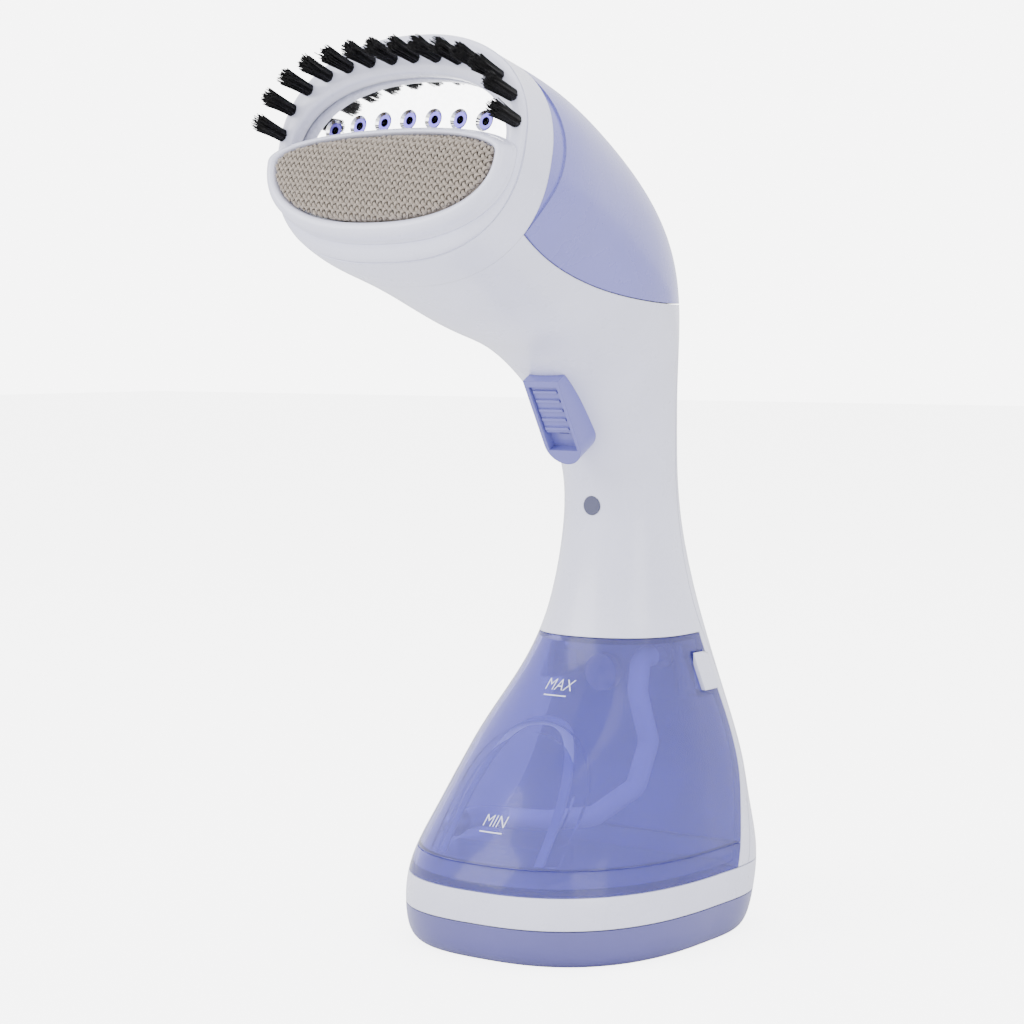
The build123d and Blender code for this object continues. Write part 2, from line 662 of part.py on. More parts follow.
def pump_plunger():
    """Steel plunger, drilled through."""
    x, y = PUMP_AXIS
    return tube((x, y, PLUNGER_BOTTOM), (x, y, PLUNGER_BOTTOM + PLUNGER_LENGTH), PLUNGER_RADIUS, WATER_BORE)


def pump_spring():
    """Return spring above the plunger."""
    x, y = PUMP_AXIS
    low = PLUNGER_BOTTOM + PLUNGER_LENGTH + 0.6
    return coil(3.2, 0.4, PUMP_TOP - 2.2 - low, 6, Pos(x, y, low))


# ---------------------------------------------------------------- water tank
tank_outer = form & layer(RING_TOP, TANK_TOP) & tank_space(-RUN)
tank_inner = casing_form(TANK_WALL) & layer(RING_TOP, TANK_TOP - TANK_WALL)
tank_inner &= tank_space(-RUN - TANK_WALL)


def tank_shell():
    """Clear upper tank, with its notches for the release tabs and an arched rib in front."""
    zone = layer(TRAY_TOP + SEAM, TANK_TOP)
    cavity, vessel = tank_inner, tank_outer
    for side in (-1, 1):
        cavity -= tab_block(side, RUN + TANK_WALL, TAB_FLOOR - TANK_WALL)
        cavity -= stem_block(side, RUN + TANK_WALL, (STEM_Y[0] - RUN - TANK_WALL, 60.0))
        vessel -= tab_block(side, RUN, TAB_FLOOR)
        vessel -= stem_block(side, RUN, (STEM_Y[0] - RUN, 60.0))
    cavity = largest(cavity) - largest(arch_rib() & block((-80, 80), (-80, 10), (RING_TOP, 90)))
    shell = largest((largest(vessel) & zone) - largest(cavity))
    shell -= rod((DOCK[0], 30, DOCK[1]), (DOCK[0], 45, DOCK[1]), SPOUT_RADIUS)
    return shell - rod((FILLER[0], 30, FILLER[1]), (FILLER[0], 45, FILLER[1]), FILLER_RADIUS)


def arch_rib():
    """Rib moulded inside the tank's front wall, an arch seen from the front."""
    apex, foot, band, bend = 72.0, 31.0, 3.6, 25.0
    outer = Pos(0, apex - bend) * Circle(bend)
    outer += Pos(0, (apex - bend + foot) / 2) * Rectangle(2 * bend, apex - bend - foot)
    inner = Pos(0, apex - bend) * Circle(bend - band)
    inner += Pos(0, (apex - bend + foot) / 2) * Rectangle(2 * (bend - band), apex - bend - foot + 2)
    flat = outer - inner
    column = Plane(origin=(0, 10, 0), x_dir=(1, 0, 0), z_dir=(0, -1, 0)) * extrude(flat, amount=80)
    return largest(column - casing_form(TANK_WALL + 1.4))


def tank_tray():
    """Bottom of the tank, welded on under the shell, with a low baffle for the filter."""
    tray = tank_outer & layer(RING_TOP + 0.2, TRAY_TOP)
    tray -= tank_inner & layer(RING_TOP + 0.2 + TANK_WALL, TRAY_TOP + 1)
    baffle_z = (RING_TOP + TANK_WALL, TRAY_TOP + 0.6)
    tray += block((-29, 7), (-26.0, -24.4), baffle_z)
    return tray + block((5.4, 7), (-26.0, -10.0), baffle_z)


def tank_seal():
    """Weld bead between the tray and the shell."""
    inset = 0.6
    bead = (casing_form(inset) & tank_space(-RUN - inset)) - tank_inner
    return bead & layer(TRAY_TOP, TRAY_TOP + SEAM)


def filler_plug():
    """Rubber bung in the tank's back, with a ring-shaped pull."""
    y = back_y(FILLER[1]) - RUN
    plug = rod((FILLER[0], y - 5.5, FILLER[1]), (FILLER[0], y - 0.2, FILLER[1]), FILLER_RADIUS)
    return plug - rod((FILLER[0], y - 3.0, FILLER[1]), (FILLER[0], y + 1.0, FILLER[1]), 4.6)


def back_y(z):
    """Y of the tank's back at a height, straight between its points."""
    for (y0, z0), (y1, z1) in zip(TANK_BACK, TANK_BACK[1:]):
        if z0 <= z <= z1:
            return y0 + (y1 - y0) * (z - z0) / (z1 - z0)
    raise ValueError(z)


def outlet_spout():
    """Spout through the tank's back, which plugs into the dock."""
    x, z = DOCK
    spout = tube((x, 27.0, z), (x, 42.5, z), SPOUT_RADIUS, SPOUT_BORE)
    return spout + tube((x, 33.0, z), (x, 34.5, z), 4.5, SPOUT_BORE)


def pickup_hose():
    """Hose from the spout down to the filter weight."""
    return hose(PICKUP_ROUTE, 4.5, HOSE_RADIUS, 2.0)


def filter_weight():
    """Metal ball filter that keeps the hose's end at the bottom."""
    neck = rod(FILTER_CENTRE, PICKUP_ROUTE[-1], HOSE_RADIUS + 0.6)
    return Pos(*FILTER_CENTRE) * Sphere(FILTER_RADIUS) + neck - pickup_hose()


# ---------------------------------------------------------------- water in the casing
def dock_socket():
    """Socket behind the tank that the spout enters."""
    x, z = DOCK
    collar = back_y(z) + BAY_WALL - 0.8
    cup = tube((x, 38.0, z), (x, DOCK_BACK, z), DOCK_RADIUS, SPOUT_RADIUS + 0.2)
    cup += tube((x, collar, z), (x, collar + 1.4, z), DOCK_FLANGE, DOCK_RADIUS)
    return cup + tube((x, DOCK_BACK - 1.3, z), (x, DOCK_BACK, z), DOCK_RADIUS, 1.3)


def suction_hose():
    """Hose from the dock up to the pump."""
    x, z = DOCK
    end = (*PUMP_AXIS, PUMP_BOTTOM - PUMP_BARB)
    return hose([(x, DOCK_BACK, z), (x, 48.2, z), (12.0, 48.0, 98.0), (7.0, 43.0, 104.0),
                 (end[0], end[1], 105.0), end], 2.9, 2.0)


def delivery_hose():
    """Hose from the pump up to the boiler."""
    end = on_face(*INLET, BOILER_BACK - 9.0)
    before = on_face(*INLET, BOILER_BACK - 20.0)
    x, y = PUMP_AXIS
    return hose([(x, y, PUMP_TOP + PUMP_BARB), (x, y, 159.5), (8.0, 19.0, 167.0), (11.0, 8.0, 188.0),
                 (11.0, -8.0, 214.0), (before.X, before.Y, before.Z), (end.X, end.Y, end.Z)], 3.0, 2.6)


# ---------------------------------------------------------------- release tabs
def release_tab(side):
    """White push tab beside the tank, with its stem through the wall behind."""
    inner = TAB_FLOOR + TAB_TRAVEL + SEAM
    tab = tab_block(side, 0.0, inner) & casing_form(-TAB_PROUD)
    web = block(sorted((side * STEM_X[0], side * (inner + 1.0))), (STEM_Y[0], STEM_Y[0] + 2.5), STEM_Z)
    return tab + web + block(sorted((side * STEM_X[0], side * STEM_X[1])), STEM_Y, STEM_Z)


def tab_springs():
    """Rubber buffers that push the tabs out again."""
    inner = STEM_X[0] - TAB_TRAVEL - SEAM
    pads = []
    for side in (-1, 1):
        pads.append(block(sorted((side * (inner - 2.4), side * inner)), (40.7, 43.6), (84.5, 88.0)))
    return pads


# ---------------------------------------------------------------- power
def cord_gland():
    """Rubber bush in the back, bored for the mains lead."""
    inner, flange, outer = GLAND_Y
    bush = rod((0, inner, GLAND_Z), (0, outer, GLAND_Z), GLAND_RADIUS)
    bush += rod((0, flange, GLAND_Z), (0, outer, GLAND_Z), GLAND_FLANGE)
    return bush - rod((0, 40, GLAND_Z), (0, 70, GLAND_Z), CORD_BORE)


def terminal_block():
    """Screw terminals on the base's floor."""
    body = block((-12, 12), (20, 31), (FLOOR, 11.0))
    for x in (-6, 6):
        body -= rod((x, 25.5, 5.0), (x, 25.5, 12.0), 1.8)
    return body


def wiring_loom():
    """Bundle from the terminals up the back of the casing to the switch."""
    return hose([(0.0, 31.0, 7.0), (0.0, 36.5, 7.0), (-14.0, 43.5, 12.0), (-15.5, 48.5, 40.0),
                 (-11.0, 49.5, 62.0), (-10.0, 49.0, 84.0), (-13.0, 42.0, 106.0), (-14.0, 30.0, 130.0),
                 (-12.0, 22.0, 152.0), (-4.0, 16.0, 166.0)], 3.0, 1.5)


# ---------------------------------------------------------------- feet and fasteners
def rubber_feet():
    """Discs let into the underside."""
    return [rod((x, y, 0), (x, y, FOOT_HEIGHT), FOOT_RADIUS) for x, y in foot_spots]


def screw(head, tip):
    """A pan-head screw with a cross recess."""
    way = (Vector(*tip) - Vector(*head)).normalized()
    seat = Vector(*head) + way * HEAD_HEIGHT
    body = rod(head, seat, HEAD_RADIUS) + rod(seat, tip, SHANK_RADIUS)
    for turn in (0, 90):
        slot = Plane(origin=head, z_dir=way) * (Rot(0, 0, turn) * Box(3.2, 0.7, HEAD_HEIGHT))
        body -= slot
    return body


def case_screws():
    """Screws through the rear shell into the front shell."""
    screws = []
    for x, z in screw_points:
        seat = parting_y(z) + SEAM / 2 + WELL_FLOOR
        screws.append(screw((x, seat + HEAD_HEIGHT, z), (x, seat - 5.0, z)))
    return screws


def base_screws():
    """Screws up through the base plate into the ring."""
    return [screw((x, y, 0.5), (x, y, 16.0)) for x, y in base_screw_spots]


def write(name, shape):
    """Save one node; a list of solids becomes one group."""
    solids = shape if isinstance(shape, list) else [shape]
    parts = [piece for one in solids for piece in one.solids()]
    export_step(parts[0] if len(parts) == 1 else Compound(children=parts), f"parts/{name}.step")


MAKERS = {
    "base_plate": base_plate, "base_ring": base_ring, "front_shell": front_shell, "rear_shell": rear_shell,
    "head_cap": head_cap, "head_collar": head_collar, "steam_plate": steam_plate,
    "port_inserts": port_inserts, "plate_gasket": plate_gasket, "boiler_block": boiler_block,
    "boiler_inlet": boiler_inlet, "heating_element": heating_element, "thermostat": thermostat,
    "thermal_fuse": thermal_fuse, "heat_shield": heat_shield, "nozzle_ring": nozzle_ring,
    "bristle_tufts": bristle_tufts, "pad_frame": pad_frame, "pad_backing": pad_backing,
    "lint_pad": lint_pad, "switch_housing": switch_housing, "switch_knob": switch_knob,
    "switch_body": switch_body, "pilot_lens": pilot_lens, "pilot_lamp": pilot_lamp,
    "pump_coil": pump_coil, "pump_yoke": pump_yoke, "pump_sleeve": pump_sleeve,
    "pump_plunger": pump_plunger, "pump_spring": pump_spring, "tank_shell": tank_shell,
    "tank_tray": tank_tray, "tank_seal": tank_seal, "filler_plug": filler_plug,
    "outlet_spout": outlet_spout, "pickup_hose": pickup_hose, "filter_weight": filter_weight,
    "dock_socket": dock_socket, "suction_hose": suction_hose, "delivery_hose": delivery_hose,
    "release_tab_right": lambda: release_tab(1), "release_tab_left": lambda: release_tab(-1),
    "tab_springs": tab_springs, "cord_gland": cord_gland, "terminal_block": terminal_block,
    "wiring_loom": wiring_loom, "rubber_feet": rubber_feet, "case_screws": case_screws,
    "base_screws": base_screws,
}

os.makedirs("parts", exist_ok=True)
for name, make in MAKERS.items():
    write(name, make())
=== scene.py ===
import json
import math
import random

import bpy
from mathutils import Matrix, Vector
from mathutils.bvhtree import BVHTree


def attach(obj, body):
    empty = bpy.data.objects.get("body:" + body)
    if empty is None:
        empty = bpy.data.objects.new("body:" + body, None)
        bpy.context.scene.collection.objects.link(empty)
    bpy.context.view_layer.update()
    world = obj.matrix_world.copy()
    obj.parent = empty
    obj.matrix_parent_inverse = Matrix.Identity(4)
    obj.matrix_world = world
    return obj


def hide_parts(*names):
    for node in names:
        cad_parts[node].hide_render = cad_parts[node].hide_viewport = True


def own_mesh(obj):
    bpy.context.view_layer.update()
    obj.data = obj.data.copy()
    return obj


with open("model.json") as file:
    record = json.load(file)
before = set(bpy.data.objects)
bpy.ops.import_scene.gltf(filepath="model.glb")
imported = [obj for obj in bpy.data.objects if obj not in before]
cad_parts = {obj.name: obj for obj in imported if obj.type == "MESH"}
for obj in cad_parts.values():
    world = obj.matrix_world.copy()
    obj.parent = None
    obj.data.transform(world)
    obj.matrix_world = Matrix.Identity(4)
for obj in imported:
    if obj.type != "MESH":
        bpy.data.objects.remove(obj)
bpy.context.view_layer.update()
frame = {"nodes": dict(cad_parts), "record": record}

# ---------------------------------------------------------------- sizes, in metres
MM = 0.001
FACE_MIDDLE = Vector((0.0, -0.096, 0.2565))
FACE_TILT = math.radians(78)
FACE_UP = Vector((0, math.cos(FACE_TILT), math.sin(FACE_TILT)))
FACE_OUT = Vector((0, -math.sin(FACE_TILT), math.cos(FACE_TILT)))
RING_POINTS = 160

TUFTS = 14
BRISTLES = 130
TUFT_LENGTH = 12.3
TUFT_ROOT = 1.9
TUFT_SPREAD = 0.7
TUFT_LEAN = math.radians(4)
TUFT_ARC = (44.6, 25.4)     # half width and height of the row of tufts
BRISTLE_WIDTH = 0.21
GOLDEN_TURN = 2.39996

WEAVE_PITCH = 1.55
WEAVE_TURN = math.radians(38)
WEAVE_STEPS = 5            # points along one crossing
PAD = (41.2, 18.8, 6.6, -6.6)
PAD_POWER = 2.25
PAD_EDGE = 3.1
PAD_CROWN = 3.6
CORE_DEPTH = 1.1            # how far the core lies under the threads
THREAD = (0.56, 0.34)       # half width and half thickness
THREAD_WAVE = 0.5

MARK_SIZE = 0.0050          # the level words, in metres
MARK_LINE = 0.0088
MARK_LIFT = 0.00008

ARCH_HALF = 19.0           # rib inside the tank
ARCH_FOOT = 31.0
ARCH_RISE = 41.0
ARCH_BAND = 2.6
ARCH_INSET = 3.4

SPRING_TURNS = 6           # the pump's return spring
SPRING_WIRE = 0.4

ROOM_LIGHT = 1.35          # the room's light on the object
ROOM_GLEAM = 2.5           # the room as shiny faces mirror it
ROOM_SHOWN = 7.0           # the room behind the object
FLOOR_GLOW = 4.6
LIGHTS = (                 # name, place, width in metres, watts
    ("key", (-0.9, -1.3, 1.1), 0.9, 22.0),
    ("fill", (1.3, -0.7, 0.7), 0.8, 9.0),
    ("top", (0.1, 0.2, 1.5), 1.2, 12.0),
)
CAMERA_PLACE = (0.4702, -0.6822, 0.198)
CAMERA_AIM = (0, -0.035, 0.142)
CAMERA_LENS = 87.9

random.seed(7)


# ---------------------------------------------------------------- mesh helpers
def face_point(u, v, out):
    """A point of the steam head's face, given across, up and out in millimetres."""
    return FACE_MIDDLE + Vector((u * MM, 0, 0)) + FACE_UP * (v * MM) + FACE_OUT * (out * MM)


def power(value, exponent):
    """A power that keeps its sign."""
    return math.copysign(abs(value) ** exponent, value)


def lobe(half, below, above, middle=0.0, n_below=2.3, n_above=2.2, count=RING_POINTS):
    """Across and up positions round a superellipse whose halves differ."""
    spots = []
    for i in range(count):
        angle = 2 * math.pi * i / count
        reach, n = (above, n_above) if math.sin(angle) > 0 else (below, n_below)
        across, up = half * power(math.cos(angle), 2 / n), reach * power(math.sin(angle), 2 / n)
        spots.append((across, middle + up))
    return spots


def new_mesh(name, points, faces, smooth=True):
    """A mesh object from points and faces."""
    mesh = bpy.data.meshes.new(name)
    mesh.from_pydata([tuple(p) for p in points], [], faces)
    mesh.validate()
    mesh.update()
    if smooth:
        mesh.shade_smooth()
    piece = bpy.data.objects.new(name, mesh)
    bpy.context.scene.collection.objects.link(piece)
    return piece


def looped_rings(name, rings):
    """A closed solid whose surface runs through rings and back to the first one."""
    points, faces = [], []
    for spots, out in rings:
        points += [face_point(u, v, out) for u, v in spots]
    total, count = len(rings), len(rings[0][0])
    for r in range(total):
        for i in range(count):
            j = (i + 1) % count
            a, b = r * count, ((r + 1) % total) * count
            faces.append((a + i, a + j, b + j, b + i))
    return new_mesh(name, points, faces)


def finish_piece(piece, body, slot, material, *nodes):
    """Rides, material and the CAD nodes that the piece stands for; the slot argument is not used."""
    piece.data.materials.clear()
    piece.data.materials.append(material)
    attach(piece, body)
    if nodes:
        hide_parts(*nodes)
    return piece


# ---------------------------------------------------------------- materials
def start_material(name):
    """A new material with its node tree and shader."""
    material = bpy.data.materials.new(name)
    material.use_nodes = True
    tree = material.node_tree
    return material, tree, tree.nodes["Principled BSDF"]


def noise(tree, scale, detail=4.0, rough=0.5):
    """A noise texture on object coordinates."""
    place = tree.nodes.new("ShaderNodeTexCoord")
    texture = tree.nodes.new("ShaderNodeTexNoise")
    texture.inputs["Scale"].default_value = scale
    texture.inputs["Detail"].default_value = detail
    texture.inputs["Roughness"].default_value = rough
    tree.links.new(place.outputs["Object"], texture.inputs["Vector"])
    return texture


def ramp(tree, source, low, high, start=0.35, end=0.65):
    """A colour ramp between two colours."""
    node = tree.nodes.new("ShaderNodeValToRGB")
    node.color_ramp.elements[0].position = start
    node.color_ramp.elements[1].position = end
    node.color_ramp.elements[0].color = (*low, 1)
    node.color_ramp.elements[1].color = (*high, 1)
    tree.links.new(source, node.inputs["Fac"])
    return node


def spread(tree, source, low, high):
    """A number that follows a texture between two values."""
    node = tree.nodes.new("ShaderNodeMapRange")
    node.inputs["To Min"].default_value = low
    node.inputs["To Max"].default_value = high
    tree.links.new(source, node.inputs["Value"])
    return node


def bump(tree, shader, source, strength, depth, rounding=0.0):
    """Small relief, with soft edges where a rounding is given."""
    node = tree.nodes.new("ShaderNodeBump")
    node.inputs["Strength"].default_value = strength
    node.inputs["Distance"].default_value = depth
    tree.links.new(source, node.inputs["Height"])
    if rounding:
        edge = tree.nodes.new("ShaderNodeBevel")
        edge.samples = 4
        edge.inputs["Radius"].default_value = rounding
        tree.links.new(edge.outputs["Normal"], node.inputs["Normal"])
    tree.links.new(node.outputs["Normal"], shader.inputs["Normal"])


def tone(color, factor):
    """A lighter or darker version of a colour."""
    return tuple(min(1.0, channel * factor) for channel in color)


def moulded(name, color, rough=0.28, coat=0.25, grain=0.03, rounding=0.0006):
    """Moulded plastic: slight mottling, uneven gloss and a fine skin."""
    material, tree, shader = start_material(name)
    cloud = noise(tree, 35, 3)
    tint = ramp(tree, cloud.outputs["Fac"], tone(color, 0.965), tone(color, 1.02))
    tree.links.new(tint.outputs["Color"], shader.inputs["Base Color"])
    smear = noise(tree, 90, 5)
    gloss = spread(tree, smear.outputs["Fac"], rough - 0.06, rough + 0.07)
    tree.links.new(gloss.outputs["Result"], shader.inputs["Roughness"])
    shader.inputs["Coat Weight"].default_value = coat
    shader.inputs["Coat Roughness"].default_value = 0.12
    skin = noise(tree, 2600, 2)
    bump(tree, shader, skin.outputs["Fac"], grain, 0.0001, rounding)
    return material


def metal(name, color, rough=0.3, grain=0.05, brush=(1, 1, 1)):
    """Metal with fine scratches."""
    material, tree, shader = start_material(name)
    shader.inputs["Metallic"].default_value = 1.0
    place = tree.nodes.new("ShaderNodeTexCoord")
    stretch = tree.nodes.new("ShaderNodeMapping")
    stretch.inputs["Scale"].default_value = brush
    lines = tree.nodes.new("ShaderNodeTexNoise")
    lines.inputs["Scale"].default_value = 900
    tree.links.new(place.outputs["Object"], stretch.inputs["Vector"])
    tree.links.new(stretch.outputs["Vector"], lines.inputs["Vector"])
    tint = ramp(tree, lines.outputs["Fac"], tone(color, 0.92), tone(color, 1.03))
    tree.links.new(tint.outputs["Color"], shader.inputs["Base Color"])
    gloss = spread(tree, lines.outputs["Fac"], rough * 0.7, rough * 1.3)
    tree.links.new(gloss.outputs["Result"], shader.inputs["Roughness"])
    bump(tree, shader, lines.outputs["Fac"], grain, 0.0001)
    return material


def soft_rubber(name, color, rough=0.75):
    """Matt rubber or silicone with a dusty surface."""
    material, tree, shader = start_material(name)
    dust = noise(tree, 220, 6)
    tint = ramp(tree, dust.outputs["Fac"], tone(color, 0.85), tone(color, 1.12))
    tree.links.new(tint.outputs["Color"], shader.inputs["Base Color"])
    gloss = spread(tree, dust.outputs["Fac"], rough - 0.1, rough + 0.1)
    tree.links.new(gloss.outputs["Result"], shader.inputs["Roughness"])
    bump(tree, shader, dust.outputs["Fac"], 0.2, 0.0002)
    return material


def clear_plastic(name, color, through, rough=0.08, bend=1.46, waves=0.04):
    """Tinted see-through plastic with faint flow marks."""
    material, tree, shader = start_material(name)
    flow = noise(tree, 22, 3)
    tint = ramp(tree, flow.outputs["Fac"], tone(color, 0.96), tone(color, 1.03))
    tree.links.new(tint.outputs["Color"], shader.inputs["Base Color"])
    gloss = spread(tree, flow.outputs["Fac"], rough * 0.7, rough * 1.5)
    tree.links.new(gloss.outputs["Result"], shader.inputs["Roughness"])
    shader.inputs["Transmission Weight"].default_value = through
    shader.inputs["IOR"].default_value = bend
    shader.inputs["Coat Weight"].default_value = 0.3
    shader.inputs["Coat Roughness"].default_value = 0.16
    bump(tree, shader, flow.outputs["Fac"], waves, 0.001)
    return material


def bristle_nylon(name, color):
    """Dull black nylon with a faint change of tone along the strands."""
    material, tree, shader = start_material(name)
    change = noise(tree, 400, 3)
    tint = ramp(tree, change.outputs["Fac"], tone(color, 0.6), tone(color, 1.3))
    tree.links.new(tint.outputs["Color"], shader.inputs["Base Color"])
    gloss = spread(tree, change.outputs["Fac"], 0.5, 0.7)
    tree.links.new(gloss.outputs["Result"], shader.inputs["Roughness"])
    shader.inputs["Specular IOR Level"].default_value = 0.18
    bump(tree, shader, change.outputs["Fac"], 0.1, 0.0001)
    return material


def woven_thread(name, color):
    """Coarse spun thread, with fibres along its surface."""
    material, tree, shader = start_material(name)
    fibre = noise(tree, 1800, 4, 0.7)
    tint = ramp(tree, fibre.outputs["Fac"], tone(color, 0.55), tone(color, 1.15), 0.3, 0.6)
    tree.links.new(tint.outputs["Color"], shader.inputs["Base Color"])
    gloss = spread(tree, fibre.outputs["Fac"], 0.8, 1.0)
    tree.links.new(gloss.outputs["Result"], shader.inputs["Roughness"])
    shader.inputs["Sheen Weight"].default_value = 0.35
    bump(tree, shader, fibre.outputs["Fac"], 0.6, 0.0003)
    return material


WHITE = (0.76, 0.77, 0.95)
LAVENDER = (0.098, 0.094, 0.31)
CAP_LAVENDER = (0.178, 0.176, 0.545)
SWITCH_LAVENDER = (0.15, 0.15, 0.48)

MATERIALS = {
    "white_casing": moulded("white_casing", WHITE),
    "lavender_casing": moulded("lavender_casing", LAVENDER, rough=0.3),
    "pale_lavender_cap": moulded("pale_lavender_cap", CAP_LAVENDER, rough=0.27, coat=0.2),
    "lavender_switch": moulded("lavender_switch", SWITCH_LAVENDER, rough=0.35, rounding=0.0005),
    "polished_chrome": metal("polished_chrome", (0.90, 0.90, 0.92), rough=0.05, grain=0.01),
    "port_blue": metal("port_blue", (0.10, 0.08, 0.34), rough=0.3),
    "silicone_grey": soft_rubber("silicone_grey", (0.42, 0.42, 0.45)),
    "cast_aluminium": metal("cast_aluminium", (0.62, 0.62, 0.63), rough=0.45, grain=0.3),
    "brass_fitting": metal("brass_fitting", (0.75, 0.55, 0.24), rough=0.25),
    "heater_steel": metal("heater_steel", (0.60, 0.60, 0.61), rough=0.3, brush=(1, 1, 0.05)),
    "mica_board": soft_rubber("mica_board", (0.52, 0.46, 0.36)),
    "black_bristle": bristle_nylon("black_bristle", (0.004, 0.004, 0.005)),
    "foam_grey": soft_rubber("foam_grey", (0.28, 0.27, 0.26), rough=0.9),
    "lint_fabric": woven_thread("lint_fabric", (0.37, 0.315, 0.265)),
    "dark_plastic": moulded("dark_plastic", (0.03, 0.03, 0.034), rough=0.45, coat=0.0),
    "lens_grey": clear_plastic("lens_grey", (0.10, 0.105, 0.20), 0.3, rough=0.2),
    "lamp_glass": clear_plastic("lamp_glass", (0.95, 0.5, 0.25), 0.6),
    "copper_winding": metal("copper_winding", (0.50, 0.20, 0.08), rough=0.35, brush=(1, 1, 20)),
    "clear_lavender": clear_plastic("clear_lavender", (0.29, 0.285, 0.74), 0.80,
                                    rough=0.05, bend=1.12, waves=0.015),
    "hose_milky": clear_plastic("hose_milky", (0.85, 0.86, 0.97), 0.05, rough=0.3),
    "frosted_rib": clear_plastic("frosted_rib", (0.52, 0.54, 0.93), 0.35, rough=0.4),
    "grey_rubber": soft_rubber("grey_rubber", (0.05, 0.05, 0.055)),
}


def dress_cad_nodes():
    """Each CAD node takes the material of its slot in the record."""
    for row in frame["record"]["subparts"]:
        piece = frame["nodes"][row["node"]]
        piece.data.materials.clear()
        piece.data.materials.append(MATERIALS[row["material_slot"]])
        piece.data.shade_smooth()
        crease = piece.modifiers.new("crease", "EDGE_SPLIT")
        crease.split_angle = math.radians(32)


# ---------------------------------------------------------------- nozzle
def lobe_between(inner, outer, share):
    """A ring part of the way from one ring to another."""
    return [(a + (c - a) * share, b + (d - b) * share) for (a, b), (c, d) in zip(inner, outer)]


def window_lobe(grow=0.0):
    """The steam window, grown evenly."""
    return lobe(41.0 + grow, 4.5 + grow, 22.8 + grow, -2.0)


def rim_lobe(shrink=0.0):
    """The nozzle ring's outline, shrunk evenly."""
    return lobe(46.8 - shrink, 36.5 - shrink, 33.2 - shrink, 0.0, 2.5)


def nozzle_ring():
    """Oval ring with a rolled rim, a throat round the window and a skirt into the collar."""
    inner, outer = window_lobe(1.2), rim_lobe(2.6)
    rings = [
        (window_lobe(), -5.8), (window_lobe(), -4.4), (window_lobe(), -2.4), (window_lobe(0.12), -1.7),
        (window_lobe(0.5), -1.15), (inner, -0.9), (lobe_between(inner, outer, 0.3), -0.72),
        (lobe_between(inner, outer, 0.7), -0.72), (outer, -0.95), (rim_lobe(1.5), -1.25),
        (rim_lobe(0.6), -1.8), (rim_lobe(0.15), -2.5), (rim_lobe(), -3.2), (rim_lobe(0.05), -3.72),
        (rim_lobe(2.5), -3.74), (rim_lobe(2.6), -5.4), (rim_lobe(3.6), -5.4), (rim_lobe(3.7), -3.7),
        (lobe_between(window_lobe(1.5), rim_lobe(), 0.5), -3.5), (window_lobe(1.6), -3.6),
        (window_lobe(1.5), -4.4), (window_lobe(1.5), -5.8),
    ]
    piece = looped_rings("nozzle_ring_shell", rings)
    return finish_piece(piece, "nozzle", "white_casing", MATERIALS["white_casing"], "nozzle_ring")


def frame_lobe(shrink=0.0):
    """Outline of the pad's frame, shrunk evenly."""
    return lobe(45.6 - shrink, 24.9 - shrink, 8.9 - shrink, -6.0)


def well_lobe(grow=0.0):
    """The hollow that the pad sits in, grown evenly."""
    return lobe(41.6 + grow, 19.2 + grow, 6.9 + grow, -6.6)


def pad_frame():
    """Raised rounded rim round the lint pad, with a step low on its outside."""
    rings = [
        (frame_lobe(-0.7), -1.0), (frame_lobe(-0.7), -0.4), (frame_lobe(-0.55), -0.05),
        (frame_lobe(0.0), 0.1),
        (frame_lobe(0.15), 0.6), (frame_lobe(0.25), 2.2), (frame_lobe(0.55), 3.3), (frame_lobe(1.1), 4.1),
        (lobe_between(frame_lobe(1.6), well_lobe(0.6), 0.35), 4.6),
        (lobe_between(frame_lobe(1.6), well_lobe(0.6), 0.75), 4.5), (well_lobe(0.45), 4.0),
        (well_lobe(0.15), 3.3), (well_lobe(), 2.4), (well_lobe(), 0.4),
        (lobe_between(frame_lobe(0.0), well_lobe(), 0.5), -1.0),
    ]
    piece = looped_rings("pad_frame_rim", rings)
    return finish_piece(piece, "nozzle", "white_casing", MATERIALS["white_casing"], "pad_frame")


def tuft_spots():
    """Evenly spaced roots along the upper half of the ring."""
    fine = 400
    wide, high = TUFT_ARC
    arc = []
    for i in range(fine + 1):
        angle = math.pi * (0.03 + 0.94 * i / fine)
        arc.append((wide * power(math.cos(angle), 0.8), high * power(math.sin(angle), 0.8)))
    run = [0.0]
    for (u0, v0), (u1, v1) in zip(arc, arc[1:]):
        run.append(run[-1] + math.hypot(u1 - u0, v1 - v0))
    spots = []
    for k in range(TUFTS):
        goal = run[-1] * k / (TUFTS - 1)
        spots.append(arc[min(range(fine + 1), key=lambda i: abs(run[i] - goal))])
    return spots


